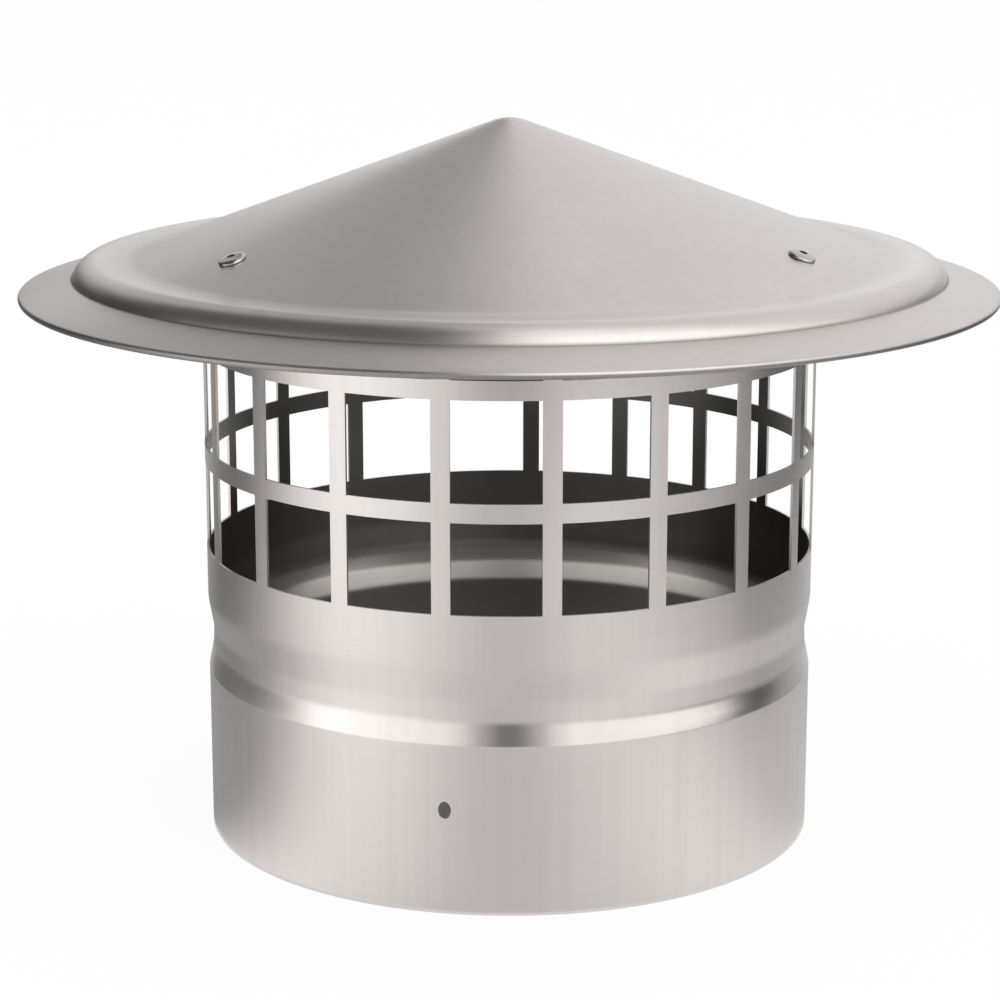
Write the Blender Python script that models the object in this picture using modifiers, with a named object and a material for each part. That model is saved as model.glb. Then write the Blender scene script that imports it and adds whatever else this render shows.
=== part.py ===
"""Chimney cap for a 150 mm flue, in stainless sheet steel.

A spun hood is riveted on top of a rolled collar. The collar slides over the flue, and a
groove rolled into it stops it there. Above the groove, three rows of punched windows let
the flue gas out under the hood. Three tabs of the collar's upper edge are folded outwards
along the inside of the cone, and each is held by a blind rivet. The origin is the centre
of the collar's lower rim, +Z is up, and azimuth 0 is the front (-Y), counted towards +X.
"""

import math

import bmesh
import bpy
from mathutils import Matrix, Vector

# Sheet metal, and the gap between two sheets that lie on each other
SHEET = 0.0006
SHEET_GAP = 0.0003

# Collar, from the lower rim up. Fillets at the foot and the top are those of the inner face.
COLLAR_RADIUS = 0.075
SKIRT_HEIGHT = 0.0405
GROOVE_LOWER_FLANK = 0.0060
GROOVE_UPPER_FLANK = 0.0066
GROOVE_DEPTH = 0.0011
GROOVE_FOOT_FILLET = 0.0006
GROOVE_FLOOR_FILLET = 0.0016
GROOVE_TOP_FILLET = 0.0114
PLAIN_BAND_HEIGHT = 0.0180

# Screw holes in the skirt, a little taller than wide, counted down from the groove
SCREW_HOLE_COUNT = 3
SCREW_HOLE_AZIMUTH = -11.5
SCREW_HOLE_DROP = 0.0155
SCREW_HOLE_WIDTH = 0.0030
SCREW_HOLE_HEIGHT = 0.0041

# Windows: columns between upright bars, rows between rings. The last column, where the tube
# closes, is narrower than the others.
WINDOW_ROW_HEIGHTS = (0.0213, 0.0234, 0.0159)
RING_HEIGHT = 0.00445
TOP_BAND_HEIGHT = 0.0040
BAR_COUNT = 19
BAR_WIDTH = 0.0044
CLOSING_PITCH_DEG = 14.4
CLOSING_BAR_AZIMUTH = 84.0

# Hood, as its outer face: cone, shoulder, step, brim and hem. Widths go on from one another,
# starting at the collar's wall.
HOOD_LIFT = 0.0030
CONE_SLOPE_DEG = 20.2
CONE_TIP_RADIUS = 0.012
SHOULDER_OVERHANG = 0.0165
SHOULDER_RISE_DEG = 1.6
SHOULDER_FILLET = 0.008
LEDGE_WIDTH = 0.0143
STEP_DROP = 0.0042
STEP_SLOPE_DEG = 70.0
STEP_FILLET = 0.0033
FOOT_FILLET = 0.0009
BRIM_WIDTH = 0.0128
BRIM_SLOPE_DEG = 14.5
HEM_INNER_RADIUS = 0.00025
HEM_RETURN = 0.0035

# Blind rivets. A lip is what a head or a bulb stands out beyond its shank or bore.
RIVET_AZIMUTHS = (-53.8, 58.8, 182.5)
SHANK_RADIUS = 0.0016
SHANK_CLEARANCE = 0.00015
SHANK_WALL = 0.00065
HEAD_LIP = 0.00165
HEAD_HEIGHT = 0.0011
HEAD_EDGE = 0.0003
HEAD_SEAT_GAP = 0.00012
BULB_LIP = 0.0004
BULB_LENGTH = 0.0017
BULB_WALL_GAP = 0.00016
MANDREL_CLEARANCE = 0.0001
MANDREL_RECESS = 0.0004
MANDREL_HEAD_LIP = 0.00045
MANDREL_HEAD_LENGTH = 0.0011

# Tabs on the collar's upper edge: the metal left round a rivet's hole, and the fold
TAB_EDGE = 0.00335
TAB_FOLD_RADIUS = 0.0004

# Fineness of the turned shapes
SHEET_STEPS = 64
RIVET_STEPS = 16
MANDREL_STEPS = 12
HOLE_STEPS = 24
ARC_STEP_DEG = 30.0
HOOD_ARC_STEPS = 3
COLLAR_ARC_STEPS = 2
DOME_STEPS = 4
FILLET_SHARE = 0.49
MERGE_DISTANCE = 0.00001
CUT_MARGIN = 0.004

# Finishes: base colour and roughness
STEEL_HOOD = ((0.58, 0.56, 0.55, 1.0), 0.34)
STEEL_COLLAR = ((0.54, 0.52, 0.51, 1.0), 0.30)
STEEL_RIVET = ((0.66, 0.65, 0.64, 1.0), 0.25)
STEEL_MANDREL = ((0.30, 0.29, 0.28, 1.0), 0.45)


def clear_scene():
    """Removes the objects of the open scene."""
    for thing in list(bpy.data.objects):
        bpy.data.objects.remove(thing, do_unlink=True)


def new_collection(name, parent=None):
    """A collection linked to the scene, or to another collection."""
    collection = bpy.data.collections.new(name)
    (parent or bpy.context.scene.collection).children.link(collection)
    return collection


def metal(name, finish):
    """A Principled metal of the given colour and roughness."""
    colour, roughness = finish
    material = bpy.data.materials.new(name)
    material.use_nodes = True
    shader = material.node_tree.nodes["Principled BSDF"]
    shader.inputs["Base Color"].default_value = colour
    shader.inputs["Metallic"].default_value = 1.0
    shader.inputs["Roughness"].default_value = roughness
    material.diffuse_color = colour
    return material


def arc(centre, radius, start, end, steps):
    """Points on an arc from start to end, in radians from +X, both ends included."""
    angles = [start + (end - start) * i / steps for i in range(steps + 1)]
    return [Vector((centre[0] + radius * math.cos(t), centre[1] + radius * math.sin(t))) for t in angles]


def rounded(corners, least_steps):
    """A polyline through corners (x, z, fillet radius), each corner inside it rounded by an arc.

    A fillet that its neighbours leave no room for is made as large as they allow.
    """
    points = [Vector(corners[0][:2])]
    for before, corner, after in zip(corners, corners[1:], corners[2:]):
        middle = Vector(corner[:2])
        back = Vector(before[:2]) - middle
        ahead = Vector(after[:2]) - middle
        room = FILLET_SHARE * min(back.length, ahead.length)
        back.normalize()
        ahead.normalize()
        bend = math.pi - back.angle(ahead)
        reach = min(corner[2] * math.tan(bend / 2), room)
        radius = reach / math.tan(bend / 2)
        centre = middle + (back + ahead).normalized() * (radius / math.cos(bend / 2))
        entry = middle + back * reach - centre
        side = 1 if back.x * ahead.y - back.y * ahead.x < 0 else -1
        steps = max(least_steps, math.ceil(math.degrees(bend) / ARC_STEP_DEG))
        start = math.atan2(entry.y, entry.x)
        points += arc(centre, radius, start, start + side * bend, steps)
    points.append(Vector(corners[-1][:2]))
    return points


def profile_object(name, points, collection, closed=False):
    """An object whose mesh is the profile, drawn in the XZ plane at +X."""
    shape = bmesh.new()
    corners = [shape.verts.new((p.x, 0.0, p.y)) for p in points]
    for start, end in zip(corners, corners[1:]):
        shape.edges.new((start, end))
    if closed:
        shape.edges.new((corners[-1], corners[0]))
    mesh = bpy.data.meshes.new(name)
    shape.to_mesh(mesh)
    shape.free()
    thing = bpy.data.objects.new(name, mesh)
    collection.objects.link(thing)
    return thing


def turn(thing, steps):
    """Turns the profile once round the Z axis."""
    screw = thing.modifiers.new("Turn", "SCREW")
    screw.axis = "Z"
    screw.angle = math.tau
    screw.steps = steps
    screw.render_steps = steps
    screw.use_merge_vertices = True
    screw.merge_threshold = MERGE_DISTANCE
    screw.use_smooth_shade = True


def thicken(thing):
    """Gives the sheet its thickness, on the side that its faces turn away from."""
    wall = thing.modifiers.new("Sheet", "SOLIDIFY")
    wall.thickness = SHEET
    wall.offset = -1.0
    wall.use_even_offset = True
    wall.use_quality_normals = True


def cut(thing, cutters):
    """Cuts all the shapes of a collection out of an object at once."""
    boolean = thing.modifiers.new("Cuts", "BOOLEAN")
    boolean.operation = "DIFFERENCE"
    boolean.solver = "EXACT"
    boolean.operand_type = "COLLECTION"
    boolean.collection = cutters


def cutter_object(name, shape, collection):
    """A wire-drawn cutter made from a bmesh."""
    mesh = bpy.data.meshes.new(name)
    shape.to_mesh(mesh)
    shape.free()
    cutter = bpy.data.objects.new(name, mesh)
    cutter.display_type = "WIRE"
    cutter.hide_render = True
    collection.objects.link(cutter)


def facing(azimuth):
    """A turn about Z that brings +X to an azimuth in degrees."""
    return Matrix.Rotation(math.radians(azimuth - 90.0), 4, "Z")


def groove_levels():
    """Heights of the groove's foot, floor and top."""
    floor = SKIRT_HEIGHT + GROOVE_LOWER_FLANK
    return SKIRT_HEIGHT, floor, floor + GROOVE_UPPER_FLANK


def window_levels():
    """Lower and upper edge of each row of windows."""
    levels = []
    sill = groove_levels()[2] + PLAIN_BAND_HEIGHT
    for height in WINDOW_ROW_HEIGHTS:
        levels.append((sill, sill + height))
        sill += height + RING_HEIGHT
    return levels


def collar_top():
    """Height of the upper edge of the band above the windows."""
    return window_levels()[-1][1] + TOP_BAND_HEIGHT


def cone_level(radius):
    """Height of the cone's outer face at a radius, lifted clear of the collar's upper edge."""
    slope = math.radians(CONE_SLOPE_DEG)
    at_wall = collar_top() + HOOD_LIFT + SHEET / math.cos(slope)
    return at_wall + (COLLAR_RADIUS - radius) * math.tan(slope)


def rivet_grip():
    """Depth of a tab's underside below the cone's outer face."""
    return 2 * SHEET + SHEET_GAP


def rivet_hole_radius():
    """Radius of the holes that the rivets pass through."""
    return SHANK_RADIUS + SHANK_CLEARANCE


def rivet_circle():
    """Radius at which the rivets sit, so that their bulbs clear the collar's wall."""
    slope = math.radians(CONE_SLOPE_DEG)
    depth = rivet_grip() + HEAD_SEAT_GAP + BULB_LENGTH
    bulb = SHANK_RADIUS + BULB_LIP
    return COLLAR_RADIUS + BULB_WALL_GAP + depth * math.sin(slope) + bulb * math.cos(slope)


def rivet_frame(azimuth):
    """Place of a rivet: its origin on the cone's outer face, its Z square to that face."""
    seat = Matrix.Translation((rivet_circle(), 0.0, cone_level(rivet_circle())))
    tilt = Matrix.Rotation(math.radians(CONE_SLOPE_DEG), 4, "Y")
    return facing(azimuth) @ seat @ tilt


def tab_half_width():
    """Half the width of a tab, which is also how far it reaches beyond its rivet."""
    return rivet_hole_radius() + TAB_EDGE


def hood_profile():
    """The hood's outer face from its tip down to the end of the hem."""
    slope = math.radians(CONE_SLOPE_DEG)
    tip_centre = cone_level(0.0) - CONE_TIP_RADIUS / math.cos(slope)
    tip = arc((0.0, tip_centre), CONE_TIP_RADIUS, math.pi / 2, math.pi / 2 - slope, HOOD_ARC_STEPS)

    shoulder_radius = COLLAR_RADIUS + SHOULDER_OVERHANG
    shoulder_level = cone_level(shoulder_radius)
    foot_radius = shoulder_radius + LEDGE_WIDTH
    foot_level = shoulder_level - STEP_DROP
    rise = math.tan(math.radians(SHOULDER_RISE_DEG))
    fall = math.tan(math.radians(STEP_SLOPE_DEG))
    step_height = (STEP_DROP + rise * LEDGE_WIDTH) / (1 + rise / fall)
    step_radius = foot_radius - step_height / fall

    down = math.radians(BRIM_SLOPE_DEG)
    hem_radius = SHEET + HEM_INNER_RADIUS
    edge_radius = foot_radius + BRIM_WIDTH - hem_radius
    edge_level = foot_level - (edge_radius + hem_radius * math.sin(down) - foot_radius) * math.tan(down)
    hem_centre = Vector((edge_radius, edge_level - hem_radius * math.cos(down)))
    hem_start = math.pi / 2 - down
    hem_steps = math.ceil(180 / ARC_STEP_DEG)
    hem = arc(hem_centre, hem_radius, hem_start, hem_start - math.pi, hem_steps)
    hem_end = hem[-1] + Vector((-math.cos(down), math.sin(down))) * HEM_RETURN

    face = rounded([
        (*tip[-1], 0.0),
        (shoulder_radius, shoulder_level, SHOULDER_FILLET),
        (step_radius, foot_level + step_height, STEP_FILLET),
        (foot_radius, foot_level, FOOT_FILLET),
        (*hem[0], 0.0),
    ], HOOD_ARC_STEPS)
    return tip + face[1:-1] + hem + [hem_end]


def collar_profile():
    """The collar's outer face, from a tab's end down its underside and the wall to the rim."""
    under_cone = rivet_grip() / math.cos(math.radians(CONE_SLOPE_DEG))
    tab_end = rivet_circle() + tab_half_width()
    foot, floor, top = groove_levels()
    return rounded([
        (tab_end, cone_level(tab_end) - under_cone, 0.0),
        (COLLAR_RADIUS, cone_level(COLLAR_RADIUS) - under_cone, TAB_FOLD_RADIUS),
        (COLLAR_RADIUS, top, GROOVE_TOP_FILLET + SHEET),
        (COLLAR_RADIUS - GROOVE_DEPTH, floor, GROOVE_FLOOR_FILLET),
        (COLLAR_RADIUS, foot, GROOVE_FOOT_FILLET + SHEET),
        (COLLAR_RADIUS, 0.0, 0.0),
    ], COLLAR_ARC_STEPS)


def window_columns():
    """Middle azimuth and angular width of each column of windows, in degrees."""
    bar = math.degrees(BAR_WIDTH / COLLAR_RADIUS)
    pitch = (360.0 - CLOSING_PITCH_DEG) / (BAR_COUNT - 1)
    columns = [(CLOSING_BAR_AZIMUTH + CLOSING_PITCH_DEG / 2, CLOSING_PITCH_DEG - bar)]
    for index in range(BAR_COUNT - 1):
        columns.append((CLOSING_BAR_AZIMUTH - (index + 0.5) * pitch, pitch - bar))
    return columns


def window_cutter(collection):
    """Blocks that punch the windows through the wall."""
    shape = bmesh.new()
    for azimuth, width in window_columns():
        half = math.radians(width / 2)
        depth = 2 * CUT_MARGIN + COLLAR_RADIUS * (1 - math.cos(half))
        for low, high in window_levels():
            place = facing(azimuth) @ Matrix.Translation((COLLAR_RADIUS, 0.0, (low + high) / 2))
            size = Matrix.Diagonal((depth, 2 * COLLAR_RADIUS * math.sin(half), high - low, 1.0))
            bmesh.ops.create_cube(shape, size=1.0, matrix=place @ size)
    cutter_object("window_cutter", shape, collection)


def screw_hole_cutter(collection):
    """Oval pins that pierce the skirt."""
    shape = bmesh.new()
    level = SKIRT_HEIGHT - SCREW_HOLE_DROP
    for index in range(SCREW_HOLE_COUNT):
        azimuth = SCREW_HOLE_AZIMUTH + 360.0 * index / SCREW_HOLE_COUNT
        place = facing(azimuth) @ Matrix.Translation((COLLAR_RADIUS, 0.0, level))
        lying = Matrix.Rotation(math.pi / 2, 4, "Y")
        oval = Matrix.Diagonal((1.0, SCREW_HOLE_WIDTH / SCREW_HOLE_HEIGHT, 1.0, 1.0))
        bmesh.ops.create_cone(
            shape, cap_ends=True, segments=HOLE_STEPS, radius1=SCREW_HOLE_HEIGHT / 2,
            radius2=SCREW_HOLE_HEIGHT / 2, depth=2 * CUT_MARGIN, matrix=place @ oval @ lying)
    cutter_object("screw_hole_cutter", shape, collection)


def rivet_hole_cutter(name, collection):
    """Pins that pierce the hood and the tabs where the rivets pass, and end short of the wall."""
    shape = bmesh.new()
    radius = rivet_hole_radius()
    below = rivet_grip() + BULB_LENGTH / 2
    length = CUT_MARGIN + below
    middle = Matrix.Translation((0.0, 0.0, length / 2 - below))
    for azimuth in RIVET_AZIMUTHS:
        bmesh.ops.create_cone(
            shape, cap_ends=True, segments=HOLE_STEPS, radius1=radius, radius2=radius,
            depth=length, matrix=rivet_frame(azimuth) @ middle)
    cutter_object(name, shape, collection)


def tab_gap_cutter(collection, keepers):
    """The ring that is trimmed off the collar's upper edge, left out where a tab stands."""
    inner = COLLAR_RADIUS - SHEET - CUT_MARGIN
    outer = rivet_circle() + tab_half_width() + CUT_MARGIN
    low = collar_top()
    high = cone_level(inner)

    keeper_shape = bmesh.new()
    size = Matrix.Diagonal((outer, 2 * tab_half_width(), 2 * (high - low), 1.0))
    for azimuth in RIVET_AZIMUTHS:
        place = facing(azimuth) @ Matrix.Translation(((inner + outer) / 2, 0.0, (low + high) / 2))
        bmesh.ops.create_cube(keeper_shape, size=1.0, matrix=place @ size)
    cutter_object("tab_keeper", keeper_shape, keepers)

    outline = [Vector(p) for p in ((inner, high), (outer, high), (outer, low), (inner, low))]
    ring = profile_object("tab_gap_cutter", outline, collection, closed=True)
    ring.display_type = "WIRE"
    ring.hide_render = True
    turn(ring, SHEET_STEPS)
    cut(ring, keepers)


def make_hood(parts, cutters):
    """The spun hood with its three rivet holes."""
    hood_cutters = new_collection("hood_cutters", cutters)
    rivet_hole_cutter("hood_rivet_holes", hood_cutters)
    hood = profile_object("hood", hood_profile(), parts)
    turn(hood, SHEET_STEPS)
    thicken(hood)
    cut(hood, hood_cutters)
    hood.data.materials.append(metal("hood_steel", STEEL_HOOD))


def make_collar(parts, cutters):
    """The rolled collar with its groove, windows, screw holes and folded tabs."""
    collar_cutters = new_collection("collar_cutters", cutters)
    window_cutter(collar_cutters)
    screw_hole_cutter(collar_cutters)
    tab_gap_cutter(collar_cutters, new_collection("tab_keepers", cutters))
    rivet_hole_cutter("tab_rivet_holes", collar_cutters)
    collar = profile_object("collar", collar_profile(), parts)
    turn(collar, SHEET_STEPS)
    thicken(collar)
    cut(collar, collar_cutters)
    collar.data.materials.append(metal("collar_steel", STEEL_COLLAR))


def rivet_body_profile():
    """Section of a set rivet body: dome, shank and bulb round the bore."""
    bore = SHANK_RADIUS - SHANK_WALL
    head = SHANK_RADIUS + HEAD_LIP
    bulb = SHANK_RADIUS + BULB_LIP
    rim = HEAD_SEAT_GAP + HEAD_EDGE
    rise = HEAD_HEIGHT - HEAD_EDGE
    dome = []
    for index in range(DOME_STEPS + 1):
        across = bore + (head - bore) * index / DOME_STEPS
        dome.append(Vector((across, rim + rise * math.sqrt(1 - (across / head) ** 2))))
    grip = rivet_grip() + HEAD_SEAT_GAP
    tail = [
        (head, HEAD_SEAT_GAP),
        (SHANK_RADIUS, HEAD_SEAT_GAP),
        (SHANK_RADIUS, -grip),
        (bulb, -grip),
        (bulb, -grip - BULB_LENGTH),
        (bore, -grip - BULB_LENGTH),
    ]
    return dome + [Vector(p) for p in tail]


def mandrel_profile():
    """Section of what stays of the mandrel: the broken stem and its head below the bulb."""
    bore = SHANK_RADIUS - SHANK_WALL
    stem = bore - MANDREL_CLEARANCE
    head = bore + MANDREL_HEAD_LIP
    top = HEAD_SEAT_GAP + HEAD_HEIGHT - MANDREL_RECESS
    seat = -rivet_grip() - HEAD_SEAT_GAP - BULB_LENGTH - MANDREL_CLEARANCE
    foot = seat - MANDREL_HEAD_LENGTH
    outline = [
        (0.0, top),
        (stem, top),
        (stem, seat),
        (head, seat),
        (head, seat - MANDREL_HEAD_LENGTH / 2),
        (stem, foot),
        (0.0, foot),
    ]
    return [Vector(p) for p in outline]


def make_rivets(parts):
    """Three set blind rivets, each a body and the rest of its mandrel."""
    body_steel = metal("rivet_steel", STEEL_RIVET)
    mandrel_steel = metal("mandrel_steel", STEEL_MANDREL)
    for number, azimuth in enumerate(RIVET_AZIMUTHS, start=1):
        body = profile_object(f"rivet_body_{number}", rivet_body_profile(), parts, closed=True)
        turn(body, RIVET_STEPS)
        body.matrix_world = rivet_frame(azimuth)
        body.data.materials.append(body_steel)

        mandrel = profile_object(f"rivet_mandrel_{number}", mandrel_profile(), parts)
        turn(mandrel, MANDREL_STEPS)
        mandrel.matrix_world = rivet_frame(azimuth)
        mandrel.data.materials.append(mandrel_steel)


def main():
    """Builds the chimney cap."""
    clear_scene()
    parts = new_collection("chimney_cap")
    cutters = new_collection("cutters")
    make_hood(parts, cutters)
    make_collar(parts, cutters)
    make_rivets(parts)


main()
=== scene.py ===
"""Looks of the chimney cap: fine sheet metal, rivets, steel finishes, floor, light and camera.

Everything is in metres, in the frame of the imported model: the origin is the centre of the
collar's lower rim, +Z is up, and azimuth 0 is the front (-Y), counted towards +X.
"""

import logging
import math
from dataclasses import dataclass, field
from enum import Enum
from typing import Callable

import bmesh
import bpy
from mathutils import Matrix, Vector


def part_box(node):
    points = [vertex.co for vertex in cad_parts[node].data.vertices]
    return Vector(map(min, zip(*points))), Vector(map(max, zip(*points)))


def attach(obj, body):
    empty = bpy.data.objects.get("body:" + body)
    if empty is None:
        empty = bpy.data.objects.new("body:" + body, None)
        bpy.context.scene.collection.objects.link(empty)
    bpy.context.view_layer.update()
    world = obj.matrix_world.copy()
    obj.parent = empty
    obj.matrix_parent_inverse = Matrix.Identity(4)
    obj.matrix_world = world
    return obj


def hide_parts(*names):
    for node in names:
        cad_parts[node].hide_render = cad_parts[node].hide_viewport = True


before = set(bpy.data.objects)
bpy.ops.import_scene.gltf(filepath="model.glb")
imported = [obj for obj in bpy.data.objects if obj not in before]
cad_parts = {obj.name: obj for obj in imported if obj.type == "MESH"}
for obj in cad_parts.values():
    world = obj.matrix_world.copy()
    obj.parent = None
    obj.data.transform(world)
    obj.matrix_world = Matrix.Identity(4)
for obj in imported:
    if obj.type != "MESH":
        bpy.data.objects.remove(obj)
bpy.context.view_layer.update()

MAP_NAME = "brush"
ALONG = "along"
MERGE = 1e-6
SHARP_DEG = 40.0
PIN_SEGMENTS = 48
log = logging.getLogger("chimney_cap")

Corner = tuple[float, float, float]
Spot = tuple[float, float]
Feed = float | bpy.types.NodeSocket
NOISE_ENDS: Spot = (0.3, 0.7)
SATIN_STEEL: Corner = (0.675, 0.635, 0.615)


class Face(Enum):
    """Material slots of a sheet: the face that weather and hands meet, and the hidden one."""

    OUTSIDE = 0
    INSIDE = 1


class Measure(Enum):
    """What the place of a band round a sheet is measured by."""

    HEIGHT = "height above the rim"
    RADIUS = "distance from the axis"


def azimuth_of(point: Vector) -> float:
    """Azimuth of a point in radians, 0 at the front and growing towards +X."""
    return math.atan2(point.x, -point.y)


def at_azimuth(radius: float, azimuth: float, height: float) -> Vector:
    """A point at a radius, an azimuth in radians and a height."""
    return Vector((radius * math.sin(azimuth), -radius * math.cos(azimuth), height))


def in_sectors(point: Vector, sectors: list[Spot]) -> bool:
    """Whether a point's azimuth lies in one of some sectors.

    Args:
        point: The point.
        sectors: First and last azimuth of each, in degrees.

    Returns:
        True if it does.
    """
    turn = math.degrees(azimuth_of(point))
    return any((turn - low) % 360.0 < high - low for low, high in sectors)


def facing(azimuth_deg: float) -> Matrix:
    """A turn about Z that brings +X to an azimuth.

    Args:
        azimuth_deg: The azimuth in degrees.

    Returns:
        The 4x4 turn.
    """
    return Matrix.Rotation(math.radians(azimuth_deg - 90.0), 4, "Z")


def arc(centre: Vector, radius: float, start: float, end: float, steps: int) -> list[Vector]:
    """Points on an arc of a section, both ends included.

    Args:
        centre: Centre in the section's plane, as (radius, height).
        radius: Radius of the arc.
        start: First angle in radians, from the outward direction.
        end: Last angle in radians.
        steps: Number of chords.

    Returns:
        The points, as (radius, height).
    """
    angles = [start + (end - start) * i / steps for i in range(steps + 1)]
    return [centre + radius * Vector((math.cos(t), math.sin(t))) for t in angles]


def rounded(corners: list[Corner], step_deg: float) -> list[Vector]:
    """A section line with each inner corner rounded by an arc.

    Args:
        corners: Corners as (radius, height, fillet).
        step_deg: Angle that one chord of a fillet turns through, at most.

    Returns:
        The points, as (radius, height).
    """
    points = [Vector(corners[0][:2])]
    for before, corner, after in zip(corners, corners[1:], corners[2:]):
        middle = Vector(corner[:2])
        back = (Vector(before[:2]) - middle).normalized()
        ahead = (Vector(after[:2]) - middle).normalized()
        bend = math.pi - back.angle(ahead)
        reach = corner[2] * math.tan(bend / 2)
        centre = middle + (back + ahead).normalized() * (corner[2] / math.cos(bend / 2))
        entry = middle + back * reach - centre
        side = 1 if back.x * ahead.y - back.y * ahead.x < 0 else -1
        steps = max(3, math.ceil(math.degrees(bend) / step_deg))
        start = math.atan2(entry.y, entry.x)
        points += arc(centre, corner[2], start, start + side * bend, steps)
    points.append(Vector(corners[-1][:2]))
    return points


def spread(points: list[Vector], longest: float) -> list[Vector]:
    """Splits the long stretches of a section evenly.

    Args:
        points: The section's points.
        longest: Longest stretch that stays whole.

    Returns:
        The points with the new ones between them.
    """
    result = [points[0]]
    for start, end in zip(points, points[1:]):
        parts = max(1, math.ceil((end - start).length / longest))
        result += [start.lerp(end, i / parts) for i in range(1, parts + 1)]
    return result


def spun_sheet(points: list[Vector], bounds_deg: list[float], step_deg: float) -> bmesh.types.BMesh:
    """Spins a section once round, so that edges run up the sheet at each given azimuth.

    Args:
        points: The section's points, as (radius, height).
        bounds_deg: Azimuths in rising order, all within one turn.
        step_deg: Largest azimuth step between edges.

    Returns:
        An open sheet whose vertices carry their way along the section.
    """
    shape = bmesh.new()
    along = shape.verts.layers.float.new(ALONG)
    first = math.radians(bounds_deg[0])
    line: list[bmesh.types.BMVert] = []
    way = 0.0
    for index, point in enumerate(points):
        way += (point - points[index - 1]).length if index else 0.0
        vertex = shape.verts.new(at_azimuth(point.x, first, point.y))
        vertex[along] = way
        line.append(vertex)
    edges = [shape.edges.new(pair) for pair in zip(line, line[1:])]
    geometry: list = line + edges
    ends = bounds_deg[1:] + [bounds_deg[0] + 360.0]
    for low, high in zip(bounds_deg, ends):
        steps = max(1, math.ceil((high - low) / step_deg))
        made = bmesh.ops.spin(
            shape, geom=geometry, cent=(0, 0, 0), axis=(0, 0, 1), dvec=(0, 0, 0),
            angle=math.radians(high - low), steps=steps, use_merge=False)
        geometry = made["geom_last"]
    bmesh.ops.remove_doubles(shape, verts=shape.verts, dist=MERGE)
    return shape


def lay_map(shape: bmesh.types.BMesh, radius: float) -> None:
    """Lays a spun piece's own map: U round the axis and V along the section, in metres.

    Args:
        shape: The piece, with its way along the section on its vertices.
        radius: Radius at which U is true to scale.
    """
    layer = shape.loops.layers.uv.new(MAP_NAME)
    along = shape.verts.layers.float[ALONG]
    for face in shape.faces:
        middle = azimuth_of(face.calc_center_median())
        for corner in face.loops:
            spot = corner.vert.co
            on_axis = math.hypot(spot.x, spot.y) < MERGE
            turn = 0.0 if on_axis else azimuth_of(spot) - middle
            turn = (turn + math.pi) % math.tau - math.pi
            corner[layer].uv = ((middle + turn) * radius, corner.vert[along])


def face_out(shape: bmesh.types.BMesh, outward: Callable[[Vector], Vector]) -> None:
    """Turns the faces of an open sheet to its outer side.

    Args:
        shape: The sheet, with all its faces turned the same way.
        outward: Gives the outer direction at a point.
    """
    shape.normal_update()
    total = sum(face.normal.dot(outward(face.calc_center_median())) for face in shape.faces)
    if total < 0:
        bmesh.ops.reverse_faces(shape, faces=shape.faces)


def new_piece(name: str, shape: bmesh.types.BMesh, materials: list[bpy.types.Material]) -> bpy.types.Object:
    """Makes an object of a bmesh and frees it.

    Args:
        name: Name of the piece.
        shape: Its shape, in place.
        materials: Its materials, in the order of its slots.

    Returns:
        The object, at the origin.
    """
    mesh = bpy.data.meshes.new(name)
    shape.to_mesh(mesh)
    shape.free()
    piece = bpy.data.objects.new(name, mesh)
    for material in materials:
        mesh.materials.append(material)
    bpy.context.scene.collection.objects.link(piece)
    return piece


def settle(piece: bpy.types.Object) -> None:
    """Applies a piece's modifiers and shades it smooth between its sharp edges.

    Args:
        piece: The object.
    """
    bpy.context.view_layer.update()
    evaluated = piece.evaluated_get(bpy.context.evaluated_depsgraph_get())
    mesh = bpy.data.meshes.new_from_object(evaluated)
    piece.modifiers.clear()
    piece.data = mesh
    mesh.shade_smooth()
    mesh.set_sharp_from_angle(angle=math.radians(SHARP_DEG))


def thicken(piece: bpy.types.Object, thickness: float) -> None:
    """Gives a sheet its thickness towards its inner side, which takes the second material."""
    wall = piece.modifiers.new("Sheet", "SOLIDIFY")
    wall.thickness = thickness
    wall.offset = -1.0
    wall.use_even_offset = True
    wall.use_quality_normals = True
    wall.material_offset = Face.INSIDE.value


def drill(piece: bpy.types.Object, pins: bmesh.types.BMesh) -> bpy.types.Object:
    """Cuts pins out of a piece.

    Args:
        piece: The piece.
        pins: The pins, as closed bodies.

    Returns:
        The cutter, which is removed once the piece is settled.
    """
    mesh = bpy.data.meshes.new(piece.name + "_pins")
    pins.to_mesh(mesh)
    pins.free()
    cutter = bpy.data.objects.new(mesh.name, mesh)
    bpy.context.scene.collection.objects.link(cutter)
    hole = piece.modifiers.new("Holes", "BOOLEAN")
    hole.operation = "DIFFERENCE"
    hole.solver = "EXACT"
    hole.object = cutter
    return cutter


def hand_in(piece: bpy.types.Object, slot: str, *nodes: str) -> None:
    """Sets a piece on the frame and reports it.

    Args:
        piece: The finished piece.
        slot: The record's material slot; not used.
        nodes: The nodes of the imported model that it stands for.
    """
    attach(piece, "root")
    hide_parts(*nodes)
    piece.data.calc_loop_triangles()
    log.info("%s: %d triangles", piece.name, len(piece.data.loop_triangles))


@dataclass(frozen=True)
class Band:
    """A band round the sheet with a roughness of its own and a factor on its colour, which paints light or
    shade into it, and soft edges of these half widths.
    """

    measure: Measure
    low: float
    high: float
    low_edge: float
    high_edge: float
    roughness: float
    shade: float = 1.0


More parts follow.
